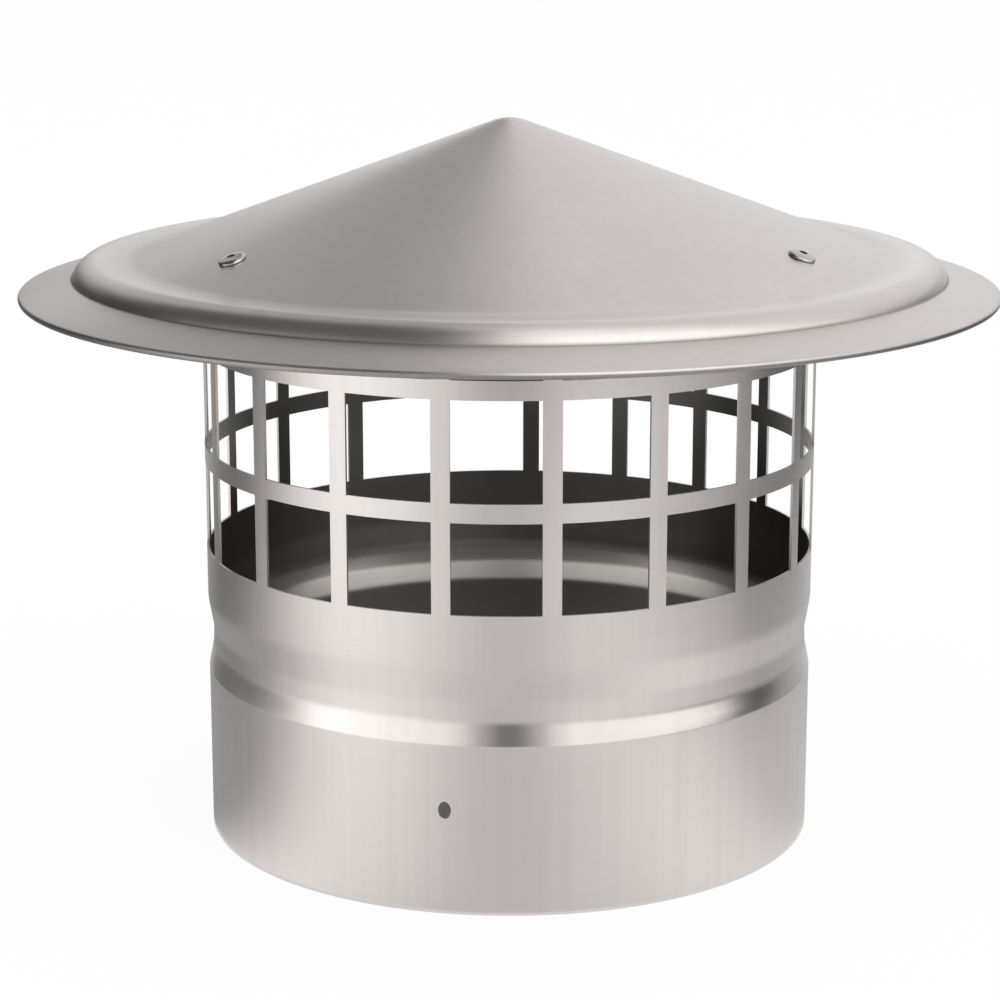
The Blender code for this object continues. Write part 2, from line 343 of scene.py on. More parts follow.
class Wiring:
    """The nodes of a material, with short ways to add what the finishes need."""

    def __init__(self, material: bpy.types.Material) -> None:
        """Takes the node tree of a new material."""
        material.use_nodes = True
        self.nodes = material.node_tree.nodes
        self.link = material.node_tree.links.new
        self.shader = self.nodes["Principled BSDF"]

    def feed(self, socket: bpy.types.NodeSocket, value: Feed) -> None:
        """Links a socket to another node's output, or sets it to a number.

        Args:
            socket: The socket that takes the value.
            value: An output, or a number.
        """
        if isinstance(value, bpy.types.NodeSocket):
            self.link(value, socket)
        else:
            socket.default_value = value

    def math(self, operation: str, *values: Feed) -> bpy.types.NodeSocket:
        """Adds a Math node.

        Args:
            operation: Its operation.
            values: What its sockets take, in order.

        Returns:
            Its output.
        """
        node = self.nodes.new("ShaderNodeMath")
        node.operation = operation
        for socket, value in zip(node.inputs, values):
            self.feed(socket, value)
        return node.outputs["Value"]

    def ranged(self, source: bpy.types.NodeSocket, before: Spot, after: Spot,
               style: str = "LINEAR") -> bpy.types.NodeSocket:
        """Maps a value from one range to another.

        Args:
            source: The value.
            before: Ends of its range.
            after: Ends of the new range.
            style: Interpolation between the ends.

        Returns:
            The mapped value.
        """
        node = self.nodes.new("ShaderNodeMapRange")
        node.interpolation_type = style
        node.inputs["From Min"].default_value, node.inputs["From Max"].default_value = before
        node.inputs["To Min"].default_value, node.inputs["To Max"].default_value = after
        self.link(source, node.inputs["Value"])
        return node.outputs["Result"]

    def within(self, band: Band) -> bpy.types.NodeSocket:
        """A value that is 1 in a band and 0 outside it.

        Args:
            band: The band.

        Returns:
            The value.
        """
        place = self.measured(band.measure)
        low = (band.low - band.low_edge, band.low + band.low_edge)
        high = (band.high - band.high_edge, band.high + band.high_edge)
        rising = self.ranged(place, low, (0.0, 1.0), "SMOOTHSTEP")
        return self.math("MULTIPLY", rising, self.ranged(place, high, (1.0, 0.0), "SMOOTHSTEP"))

    def spot(self) -> bpy.types.NodeOutputs:
        """The outputs X, Y and Z of the Object coordinates."""
        place = self.nodes.new("ShaderNodeTexCoord")
        parts = self.nodes.new("ShaderNodeSeparateXYZ")
        self.link(place.outputs["Object"], parts.inputs["Vector"])
        return parts.outputs

    def measured(self, measure: Measure) -> bpy.types.NodeSocket:
        """Height above the rim or distance from the axis.

        Args:
            measure: Which of the two.

        Returns:
            The value in metres.
        """
        spot = self.spot()
        if measure is Measure.HEIGHT:
            return spot["Z"]
        across = self.math("MULTIPLY", spot["Y"], spot["Y"])
        return self.math("SQRT", self.math("MULTIPLY_ADD", spot["X"], spot["X"], across))

    def bump(self, height: bpy.types.NodeSocket, strength: float, distance: float) -> None:
        """Gives the shader a fine relief.

        Args:
            height: The relief.
            strength: Its strength.
            distance: Its depth in metres.
        """
        node = self.nodes.new("ShaderNodeBump")
        node.inputs["Strength"].default_value = strength
        node.inputs["Distance"].default_value = distance
        self.link(height, node.inputs["Height"])
        self.link(node.outputs["Normal"], self.shader.inputs["Normal"])


@dataclass(frozen=True)
class Grain:
    """Noise drawn out over a sheet: cycles per metre round it and along its section, and octaves."""

    across: float
    along: float
    octaves: float


@dataclass(frozen=True)
class BrushedSteel:
    """Satin stainless sheet.

    Fine strokes run round the axis, and faint streaks run up the section, with cloudiness
    between them. They come from noise that is drawn out over the piece's own map. The
    reflections are stretched across the strokes.
    """

    name: str
    colour: tuple[float, float, float]
    roughness: float
    stretch: float = 0.55
    stroke: float = 0.014
    stroke_roughness: float = 0.02
    streak: float = 0.02
    cloud: float = 0.025
    cloud_roughness: float = 0.02
    relief: float = 0.006
    relief_depth: float = 0.0002
    bands: tuple[Band, ...] = ()
    stretch_turn: float = 0.25
    stroke_grain: Grain = Grain(40.0, 3600.0, 3.0)
    cloud_grain: Grain = Grain(26.0, 22.0, 2.0)
    streak_grain: Grain = Grain(420.0, 5.0, 2.0)

    def drawn(self, wiring: Wiring, grain: Grain) -> bpy.types.NodeSocket:
        """Noise with its own frequency round the axis and along the section.

        Args:
            wiring: The material's nodes.
            grain: The frequencies.

        Returns:
            The noise.
        """
        flat = wiring.nodes.new("ShaderNodeUVMap")
        flat.uv_map = MAP_NAME
        laid = wiring.nodes.new("ShaderNodeSeparateXYZ")
        wiring.link(flat.outputs["UV"], laid.inputs["Vector"])
        spot = wiring.spot()
        vector = wiring.nodes.new("ShaderNodeCombineXYZ")
        wiring.link(wiring.math("MULTIPLY", spot["X"], grain.across), vector.inputs["X"])
        wiring.link(wiring.math("MULTIPLY", spot["Y"], grain.across), vector.inputs["Y"])
        wiring.link(wiring.math("MULTIPLY", laid.outputs["Y"], grain.along), vector.inputs["Z"])
        noise = wiring.nodes.new("ShaderNodeTexNoise")
        noise.inputs["Scale"].default_value = 1.0
        noise.inputs["Detail"].default_value = grain.octaves
        wiring.link(vector.outputs["Vector"], noise.inputs["Vector"])
        return noise.outputs["Fac"]

    def material(self) -> bpy.types.Material:
        """Builds the material.

        Returns:
            A material that reads the piece's own map and its Object coordinates.
        """
        material = bpy.data.materials.new(self.name)
        wiring = Wiring(material)
        shader = wiring.shader
        shader.inputs["Metallic"].default_value = 1.0
        shader.inputs["Anisotropic"].default_value = self.stretch
        shader.inputs["Anisotropic Rotation"].default_value = self.stretch_turn
        tangent = wiring.nodes.new("ShaderNodeTangent")
        tangent.direction_type = "UV_MAP"
        tangent.uv_map = MAP_NAME
        wiring.link(tangent.outputs["Tangent"], shader.inputs["Tangent"])

        strokes = self.drawn(wiring, self.stroke_grain)
        clouds = self.drawn(wiring, self.cloud_grain)
        streaks = self.drawn(wiring, self.streak_grain)
        shade = wiring.math(
            "MULTIPLY",
            wiring.ranged(strokes, NOISE_ENDS, (1 - self.stroke, 1 + self.stroke)),
            wiring.ranged(clouds, NOISE_ENDS, (1 - self.cloud, 1 + self.cloud)))
        shade = wiring.math(
            "MULTIPLY", shade,
            wiring.ranged(streaks, NOISE_ENDS, (1 - self.streak, 1 + self.streak)))
        rough = wiring.math(
            "ADD",
            wiring.ranged(strokes, NOISE_ENDS, (self.roughness - self.stroke_roughness,
                                                self.roughness + self.stroke_roughness)),
            wiring.ranged(clouds, NOISE_ENDS, (-self.cloud_roughness, self.cloud_roughness)))
        # Each band's factor paints light into the colour: a painted highlight above 1, painted shade below
        # 1.
        for band in self.bands:
            within = wiring.within(band)
            shade = wiring.math("MULTIPLY", shade, wiring.ranged(within, (0.0, 1.0), (1.0, band.shade)))
            change = wiring.math("SUBTRACT", band.roughness, rough)
            rough = wiring.math("MULTIPLY_ADD", change, within, rough)
        tint = wiring.nodes.new("ShaderNodeVectorMath")
        tint.operation = "SCALE"
        tint.inputs[0].default_value = self.colour
        wiring.link(shade, tint.inputs["Scale"])
        wiring.link(tint.outputs["Vector"], shader.inputs["Base Color"])
        wiring.link(rough, shader.inputs["Roughness"])
        wiring.bump(strokes, self.relief, self.relief_depth)
        return material


@dataclass(frozen=True)
class TurnedSteel:
    """Small bright or dull steel parts, with faint scratches."""

    name: str
    colour: tuple[float, float, float]
    roughness: float
    scratch: float = 0.04
    scratch_scale: float = 1800.0
    scratch_octaves: float = 3.0
    relief: float = 0.1
    relief_depth: float = 0.00005

    def material(self) -> bpy.types.Material:
        """Builds the material.

        Returns:
            A material that reads Object coordinates.
        """
        material = bpy.data.materials.new(self.name)
        wiring = Wiring(material)
        wiring.shader.inputs["Metallic"].default_value = 1.0
        wiring.shader.inputs["Base Color"].default_value = (*self.colour, 1.0)
        place = wiring.nodes.new("ShaderNodeTexCoord")
        noise = wiring.nodes.new("ShaderNodeTexNoise")
        noise.inputs["Scale"].default_value = self.scratch_scale
        noise.inputs["Detail"].default_value = self.scratch_octaves
        wiring.link(place.outputs["Object"], noise.inputs["Vector"])
        ends = (self.roughness - self.scratch, self.roughness + self.scratch)
        rough = wiring.ranged(noise.outputs["Fac"], NOISE_ENDS, ends)
        wiring.link(rough, wiring.shader.inputs["Roughness"])
        wiring.bump(noise.outputs["Fac"], self.relief, self.relief_depth)
        return material


@dataclass
class Sheet:
    """Sizes that the hood and the collar share."""

    thickness: float = 0.0006
    gap: float = 0.0003
    collar_radius: float = 0.075
    collar_top: float = 0.1446
    hood_lift: float = 0.0030
    cone_slope_deg: float = 20.2
    rivet_azimuths: tuple[float, ...] = (-53.8, 58.8, 182.5)
    rivet_hole_radius: float = 0.00175
    bulb_wall_gap: float = 0.00016
    bulb_radius: float = 0.0020
    bulb_length: float = 0.0017
    seat_gap: float = 0.00012
    tab_edge: float = 0.00335
    fillet_step_deg: float = 5.0
    longest_stretch: float = 0.003

    @property
    def slope(self) -> float:
        """Slope of the cone in radians."""
        return math.radians(self.cone_slope_deg)

    @property
    def grip(self) -> float:
        """Depth of a tab's underside below the cone's outer face."""
        return 2 * self.thickness + self.gap

    @property
    def rivet_circle(self) -> float:
        """Radius at which the rivets sit, so that their bulbs clear the collar's wall."""
        depth = self.grip + self.seat_gap + self.bulb_length
        reach = depth * math.sin(self.slope) + self.bulb_radius * math.cos(self.slope)
        return self.collar_radius + self.bulb_wall_gap + reach

    def cone_level(self, radius: float) -> float:
        """Height of the cone's outer face at a radius."""
        at_wall = self.collar_top + self.hood_lift + self.thickness / math.cos(self.slope)
        return at_wall + (self.collar_radius - radius) * math.tan(self.slope)

    def rivet_frame(self, azimuth_deg: float) -> Matrix:
        """Place of a rivet: its origin on the cone's outer face, its Z square to that face."""
        seat = Matrix.Translation((self.rivet_circle, 0.0, self.cone_level(self.rivet_circle)))
        return facing(azimuth_deg) @ seat @ Matrix.Rotation(self.slope, 4, "Y")

    def rivet_pins(self) -> bmesh.types.BMesh:
        """Pins that pierce the hood and the tabs where the rivets pass.

        Returns:
            The pins, as closed bodies.
        """
        pins = bmesh.new()
        above, below = 0.004, 0.0023
        for azimuth in self.rivet_azimuths:
            middle = Matrix.Translation((0.0, 0.0, (above - below) / 2))
            bmesh.ops.create_cone(
                pins, cap_ends=True, segments=PIN_SEGMENTS, radius1=self.rivet_hole_radius,
                radius2=self.rivet_hole_radius, depth=above + below,
                matrix=self.rivet_frame(azimuth) @ middle)
        return pins


@dataclass
class Hood:
    """The spun hood: cone, shoulder, step, brim and hem."""

    sheet: Sheet
    tip_radius: float = 0.012
    shoulder_overhang: float = 0.0165
    shoulder_rise_deg: float = 1.6
    shoulder_fillet: float = 0.008
    ledge_width: float = 0.0143
    step_drop: float = 0.0042
    step_slope_deg: float = 70.0
    step_fillet: float = 0.0058
    foot_fillet: float = 0.0005
    brim_slope_deg: float = 14.5
    hem_inner_radius: float = 0.00025
    hem_return: float = 0.0035
    tip_steps: int = 6
    hem_steps: int = 14
    round_step_deg: float = 1.5
    # Painted shade: the underside's colour is far darker than bare steel, for the shade under the hood.
    inside: BrushedSteel = BrushedSteel("hood_underside_painted_shade", (0.30, 0.29, 0.28), 0.42)

    @property
    def foot_radius(self) -> float:
        """Radius of the corner between the step and the brim."""
        return self.sheet.collar_radius + self.shoulder_overhang + self.ledge_width

    @property
    def brim_fall(self) -> float:
        """Slope of the brim in radians."""
        return math.radians(self.brim_slope_deg)

    @property
    def hem_radius(self) -> float:
        """Outer radius of the hem's fold."""
        return self.sheet.thickness + self.hem_inner_radius

    @property
    def hem_centre(self) -> Vector:
        """Centre of the hem's fold, as (radius, height)."""
        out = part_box("hood")[1].x - self.hem_radius
        top = out + self.hem_radius * math.sin(self.brim_fall)
        foot_level = self.sheet.cone_level(self.foot_radius - self.ledge_width) - self.step_drop
        level = foot_level - (top - self.foot_radius) * math.tan(self.brim_fall)
        return Vector((out, level - self.hem_radius * math.cos(self.brim_fall)))

    @property
    def outside(self) -> BrushedSteel:
        """Satin sheet: the bead's crown is burnished and has a painted highlight; painted shade darkens its
        foot and the hem.
        """
        foot = self.foot_radius
        crown = foot - self.ledge_width / 2
        hem = self.hem_centre.y
        bands = (
            # Burnished crown: lower roughness, and a painted highlight that lightens its colour.
            Band(
                Measure.RADIUS, low=crown - 0.0025, high=crown + 0.0030, low_edge=0.004,
                high_edge=0.004, roughness=0.27, shade=1.08),
            # Painted shade: a dark line in the crease at the step's foot.
            Band(
                Measure.RADIUS, low=foot - 0.00015, high=foot + 0.0003, low_edge=0.00015,
                high_edge=0.0002, roughness=0.45, shade=0.6),
            # Painted shade: a dark line on the hem's lower half, under the brim's edge.
            Band(
                Measure.HEIGHT, low=hem - 0.0012, high=hem + 0.0002, low_edge=0.0001,
                high_edge=0.0003, roughness=0.4, shade=0.45),
        )
        return BrushedSteel("hood_satin", SATIN_STEEL, roughness=0.34, bands=bands)

    def section(self) -> list[Vector]:
        """The hood's outer face from its tip down to the end of the hem.

        Returns:
            The section, as (radius, height).
        """
        sheet = self.sheet
        tip_centre = Vector((0.0, sheet.cone_level(0.0) - self.tip_radius / math.cos(sheet.slope)))
        tip = arc(tip_centre, self.tip_radius, math.pi / 2, math.pi / 2 - sheet.slope, self.tip_steps)

        shoulder_radius = self.foot_radius - self.ledge_width
        shoulder_level = sheet.cone_level(shoulder_radius)
        foot_level = shoulder_level - self.step_drop
        rise = math.tan(math.radians(self.shoulder_rise_deg))
        fall = math.tan(math.radians(self.step_slope_deg))
        step_height = (self.step_drop + rise * self.ledge_width) / (1 + rise / fall)
        step_radius = self.foot_radius - step_height / fall

        down = self.brim_fall
        hem_start = math.pi / 2 - down
        hem = arc(self.hem_centre, self.hem_radius, hem_start, hem_start - math.pi, self.hem_steps)
        hem_end = hem[-1] + Vector((-math.cos(down), math.sin(down))) * self.hem_return

        face = rounded([
            (*tip[-1], 0.0),
            (shoulder_radius, shoulder_level, self.shoulder_fillet),
            (step_radius, foot_level + step_height, self.step_fillet),
            (self.foot_radius, foot_level, self.foot_fillet),
            (*hem[0], 0.0),
        ], sheet.fillet_step_deg)
        return tip + spread(face, sheet.longest_stretch)[1:-1] + hem + [hem_end]

    def build(self) -> bpy.types.Object:
        """Builds the hood.

        Returns:
            The finished piece.
        """
        sheet = self.sheet
        shape = spun_sheet(self.section(), [-180.0], self.round_step_deg)
        face_out(shape, lambda spot: Vector((0.0, 0.0, 1.0)))
        lay_map(shape, sheet.collar_radius)
        piece = new_piece("hood_sheet", shape, [self.outside.material(), self.inside.material()])
        thicken(piece, sheet.thickness)
        cutter = drill(piece, sheet.rivet_pins())
        settle(piece)
        bpy.data.objects.remove(cutter, do_unlink=True)
        hand_in(piece, "hood_steel", "hood")
        return piece


@dataclass
class Collar:
    """The rolled collar: skirt, groove, plain band, windows, top band and folded tabs."""

    sheet: Sheet
    skirt_height: float = 0.0405
    groove_lower_flank: float = 0.0054
    groove_lower_depth: float = 0.0011
    groove_floor: float = 0.0048
    groove_depth: float = 0.0013
    groove_upper_flank: float = 0.0074
    groove_foot_fillet: float = 0.0018
    groove_floor_fillet: float = 0.0100
    groove_top_fillet: float = 0.0160
    plain_band_height: float = 0.0130
    tab_fold_radius: float = 0.0004
    window_rows: tuple[float, ...] = (0.0213, 0.0234, 0.0159)
    ring_height: float = 0.00445
    bar_count: int = 19
    bar_width: float = 0.0044
    closing_pitch_deg: float = 14.4
    closing_bar_azimuth: float = 84.0
    screw_hole_count: int = 3
    screw_hole_azimuth: float = -11.5
    screw_hole_drop: float = 0.0155
    screw_hole_width: float = 0.0030
    screw_hole_height: float = 0.0041
    screw_pin_length: float = 0.008
    round_step_deg: float = 1.6

    @property
    def groove_floor_level(self) -> float:
        """Height of the groove's floor, where it is deepest."""
        return self.skirt_height + self.groove_lower_flank + self.groove_floor

    @property
    def groove_top_level(self) -> float:
        """Height of the groove's upper edge."""
        return self.groove_floor_level + self.groove_upper_flank

    @property
    def outside(self) -> BrushedSteel:
        """Satin sheet, burnished on the groove's lower flank."""
        flank_end = self.skirt_height + self.groove_lower_flank
        band = Band(
            Measure.HEIGHT, low=self.skirt_height, high=flank_end, low_edge=0.0005,
            high_edge=0.0013, roughness=0.14)
        return BrushedSteel("collar_satin", SATIN_STEEL, roughness=0.32, bands=(band,))

    @property
    def inside(self) -> BrushedSteel:
        """Rougher sheet with painted shade, far darker than bare steel; the lower side of the groove's
        ridge is burnished and painted four times lighter, a painted highlight.
        """
        # Painted highlight on the ridge's lower side: four times the colour, and lower roughness.
        band = Band(
            Measure.HEIGHT, low=self.skirt_height, high=self.groove_floor_level, low_edge=0.0012,
            high_edge=0.002, roughness=0.26, shade=4.0)
        # Painted shade: the whole inside is far darker than bare steel.
        return BrushedSteel("collar_inside_painted_shade", (0.17, 0.162, 0.154), roughness=0.38, bands=(band,))

    def window_levels(self) -> list[Spot]:
        """Lower and upper edge of each row of windows."""
        sill = self.groove_top_level + self.plain_band_height
        levels = []
        for height in self.window_rows:
            levels.append((sill, sill + height))
            sill += height + self.ring_height
        return levels

    def window_columns(self) -> list[Spot]:
        """First and last azimuth of each column of windows, in degrees."""
        bar = math.degrees(self.bar_width / self.sheet.collar_radius)
        pitch = (360.0 - self.closing_pitch_deg) / (self.bar_count - 1)
        start = self.closing_bar_azimuth
        columns = [(start + bar / 2, start + self.closing_pitch_deg - bar / 2)]
        for index in range(self.bar_count - 1):
            right = start - index * pitch
            columns.append((right - pitch + bar / 2, right - bar / 2))
        return columns

    def tab_sectors(self) -> list[Spot]:
        """First and last azimuth of each tab, in degrees."""
        half = math.degrees((self.sheet.rivet_hole_radius + self.sheet.tab_edge) / self.sheet.collar_radius)
        return [(azimuth - half, azimuth + half) for azimuth in self.sheet.rivet_azimuths]

    def section(self) -> list[Vector]:
        """The collar's outer face, from a tab's end down its underside and the wall to the rim.

        Returns:
            The section, as (radius, height), with a point at every window's edge.
        """
        sheet = self.sheet
        radius = sheet.collar_radius
        under_cone = sheet.grip / math.cos(sheet.slope)
        tab_end = sheet.rivet_circle + sheet.rivet_hole_radius + sheet.tab_edge
        flank_end = self.skirt_height + self.groove_lower_flank
        line = rounded([
            (tab_end, sheet.cone_level(tab_end) - under_cone, 0.0),
            (radius, sheet.cone_level(radius) - under_cone, self.tab_fold_radius),
            (radius, self.groove_top_level, self.groove_top_fillet),
            (radius - self.groove_depth, self.groove_floor_level, self.groove_floor_fillet),
            (radius - self.groove_lower_depth, flank_end, self.groove_floor_fillet),
            (radius, self.skirt_height, self.groove_foot_fillet),
            (radius, 0.0, 0.0),
        ], sheet.fillet_step_deg / 2)
        levels = [level for row in self.window_levels() for level in row] + [sheet.collar_top]
        result = [line[0]]
        for start, end in zip(line, line[1:]):
            inside = sorted((z for z in levels if end.y < z < start.y), reverse=True)
            result += [Vector((radius, z)) for z in inside] + [end]
        return spread(result, sheet.longest_stretch)

    def is_open(self, spot: Vector) -> bool:
        """Whether the sheet has an opening at a point.

        Args:
            spot: Middle of a face.

        Returns:
            True in a window and above the top band beside the tabs.
        """
        if spot.z > self.sheet.collar_top or spot.xy.length > self.sheet.collar_radius:
            return not in_sectors(spot, self.tab_sectors())
        in_row = any(low < spot.z < high for low, high in self.window_levels())
        return in_row and in_sectors(spot, self.window_columns())

    def hole_pins(self) -> bmesh.types.BMesh:
        """Oval pins for the screw holes, and the rivets' pins.

        Returns:
            The pins, as closed bodies.
        """
        pins = self.sheet.rivet_pins()
        level = self.skirt_height - self.screw_hole_drop
        half = self.screw_hole_height / 2
        for index in range(self.screw_hole_count):
            azimuth = self.screw_hole_azimuth + 360.0 * index / self.screw_hole_count
            place = facing(azimuth) @ Matrix.Translation((self.sheet.collar_radius, 0.0, level))
            oval = Matrix.Diagonal((1.0, self.screw_hole_width / self.screw_hole_height, 1.0, 1.0))
            bmesh.ops.create_cone(
                pins, cap_ends=True, segments=PIN_SEGMENTS, radius1=half, radius2=half,
                depth=self.screw_pin_length, matrix=place @ oval @ Matrix.Rotation(math.pi / 2, 4, "Y"))
        return pins

    def build(self) -> bpy.types.Object:
        """Builds the collar.

        Returns:
            The finished piece.
        """
        sheet = self.sheet
        edges = [edge for column in self.window_columns() + self.tab_sectors() for edge in column]
        bounds_deg = sorted({round((edge + 180.0) % 360.0 - 180.0, 6) for edge in edges})
        shape = spun_sheet(self.section(), bounds_deg, self.round_step_deg)
        face_out(shape, lambda spot: Vector((spot.x, spot.y, 0.0)))
        lay_map(shape, sheet.collar_radius)
        opened = [face for face in shape.faces if self.is_open(face.calc_center_median())]
        bmesh.ops.delete(shape, geom=opened, context="FACES")
        piece = new_piece("collar_sheet", shape, [self.outside.material(), self.inside.material()])
        thicken(piece, sheet.thickness)
        cutter = drill(piece, self.hole_pins())
        settle(piece)
        bpy.data.objects.remove(cutter, do_unlink=True)
        hand_in(piece, "collar_steel", "collar")
        return piece


@dataclass
class BlindRivets:
    """Three set blind rivets, each a body and the rest of its mandrel."""

    sheet: Sheet
    shank_radius: float = 0.0016
    bore_radius: float = 0.00095
    head_radius: float = 0.00325
    head_height: float = 0.0011
    head_edge: float = 0.0003
    mandrel_clearance: float = 0.0001
    mandrel_recess: float = 0.0004
    mandrel_head_radius: float = 0.0014
    mandrel_head_length: float = 0.0011
    dome_steps: int = 8
    steps: int = 48
    body_steel: TurnedSteel = TurnedSteel("rivet_bright", (0.55, 0.53, 0.52), 0.08)
    # Painted shade: the mandrel's colour is far darker than bare steel, for the shade in the rivet's bore.
    mandrel_steel: TurnedSteel = TurnedSteel("mandrel_dull_painted_shade", (0.10, 0.095, 0.09), 0.45)

    def body_section(self) -> list[Spot]:
        """Section of a rivet's body, from the dome's inner edge out and down to the bore's end."""
        sheet = self.sheet
        rim = sheet.seat_gap + self.head_edge
        rise = self.head_height - self.head_edge
        dome = []
        for index in range(self.dome_steps + 1):
            share = math.sin(math.pi / 2 * index / self.dome_steps)
            across = self.bore_radius + (self.head_radius - self.bore_radius) * share
            dome.append((across, rim + rise * math.sqrt(1 - (across / self.head_radius) ** 2)))
        grip = sheet.grip + sheet.seat_gap
        return dome + [
            (self.head_radius, sheet.seat_gap),
            (self.shank_radius, sheet.seat_gap),
            (self.shank_radius, -grip),
            (sheet.bulb_radius, -grip),
            (sheet.bulb_radius, -grip - sheet.bulb_length),
            (self.bore_radius, -grip - sheet.bulb_length),
        ]

    def mandrel_section(self) -> list[Spot]:
        """Section of what stays of the mandrel."""
        sheet = self.sheet
        stem = self.bore_radius - self.mandrel_clearance
        top = sheet.seat_gap + self.head_height - self.mandrel_recess
        seat = -sheet.grip - sheet.seat_gap - sheet.bulb_length - self.mandrel_clearance
        foot = seat - self.mandrel_head_length
        return [
            (0.0, top),
            (stem, top),
            (stem, seat),
            (self.mandrel_head_radius, seat),
            (self.mandrel_head_radius, seat - self.mandrel_head_length / 2),
            (stem, foot),
            (0.0, foot),
        ]

    def turned(self, section: list[Spot], closed: bool) -> bmesh.types.BMesh:
        """Turns a section into a closed body.

        Args:
            section: Its points, as (radius, height).
            closed: Whether the section is a loop, away from the axis.

        Returns:
            The body, standing at the origin.
        """
        shape = bmesh.new()
        line = [shape.verts.new((x, 0.0, z)) for x, z in section]
        pairs = list(zip(line, line[1:])) + ([(line[-1], line[0])] if closed else [])
        edges = [shape.edges.new(pair) for pair in pairs]
        bmesh.ops.spin(
            shape, geom=line + edges, cent=(0, 0, 0), axis=(0, 0, 1), dvec=(0, 0, 0),
            angle=math.tau, steps=self.steps, use_merge=True)
        bmesh.ops.remove_doubles(shape, verts=shape.verts, dist=MERGE)
        bmesh.ops.recalc_face_normals(shape, faces=shape.faces)
        return shape

    def build(self) -> None:
        """Builds the three rivets in their holes."""
        bright = self.body_steel.material()
        # The mandrels' material carries painted shade in its dark colour.
        dull = self.mandrel_steel.material()
        for number, azimuth in enumerate(self.sheet.rivet_azimuths, start=1):
            place = self.sheet.rivet_frame(azimuth)
            body = self.turned(self.body_section(), closed=True)
            bmesh.ops.transform(body, matrix=place, verts=body.verts)
            piece = new_piece(f"rivet_{number}", body, [bright])
            settle(piece)
            hand_in(piece, "rivet_steel", f"rivet_body_{number}")
            mandrel = self.turned(self.mandrel_section(), closed=False)
            bmesh.ops.transform(mandrel, matrix=place, verts=mandrel.verts)
            piece = new_piece(f"mandrel_{number}", mandrel, [dull])
            settle(piece)
            hand_in(piece, "mandrel_steel", f"rivet_mandrel_{number}")


@dataclass(frozen=True)
class TentRing:
    """One ring of the grey tent round the table, which shows in reflections only.

    Its section of (radius, height) points is spun once round. It is a few light and dark
    panels, given in round numbers, each an (azimuth in degrees, brightness), from the
    back round the left, the front and the right to the back again, with soft changes between.
    """

    name: str
    section: tuple[Spot, ...]
    levels: tuple[Spot, ...]
    full: float = 2.0
    steps: int = 48

    def material(self) -> bpy.types.Material:
        """Builds the ring's glow, which follows the azimuth.

        Returns:
            A material that reads Object coordinates.
        """
        material = bpy.data.materials.new(self.name)
        wiring = Wiring(material)
        spot = wiring.spot()
        azimuth = wiring.math("ARCTAN2", spot["X"], wiring.math("MULTIPLY", spot["Y"], -1.0))
        ramp = wiring.nodes.new("ShaderNodeValToRGB")
        wiring.link(wiring.math("MULTIPLY_ADD", azimuth, 1 / math.tau, 0.5), ramp.inputs["Fac"])
        ramp.color_ramp.interpolation = "EASE"
        stops = ramp.color_ramp.elements
        first, last = self.levels[0][1] / self.full, self.levels[-1][1] / self.full
        stops[0].color = (first, first, first, 1.0)
        stops[1].color = (last, last, last, 1.0)
        for azimuth_deg, level in self.levels[1:-1]:
            grey = level / self.full
            stops.new(azimuth_deg / 360.0 + 0.5).color = (grey, grey, grey, 1.0)
        glow = wiring.nodes.new("ShaderNodeEmission")
        glow.inputs["Strength"].default_value = self.full
        wiring.link(ramp.outputs["Color"], glow.inputs["Color"])
        wiring.link(glow.outputs["Emission"], wiring.nodes["Material Output"].inputs["Surface"])
        return material

    def build(self) -> None:
        """Spins the section once round."""
        shape = bmesh.new()
        line = [shape.verts.new((radius, 0.0, height)) for radius, height in self.section]
        edges = [shape.edges.new(pair) for pair in zip(line, line[1:])]
        bmesh.ops.spin(
            shape, geom=line + edges, cent=(0, 0, 0), axis=(0, 0, 1), dvec=(0, 0, 0),
            angle=math.tau, steps=self.steps, use_merge=True)
        ring = new_piece(self.name, shape, [self.material()])
        ring.visible_camera = False
        ring.visible_diffuse = False
        ring.visible_shadow = False


@dataclass(frozen=True)
class Softbox:
    """A soft lamp that faces the cap."""

    name: str
    heading_deg: float
    height: float
    width: float
    tall: float
    radiance: float
    distance: float = 2.0


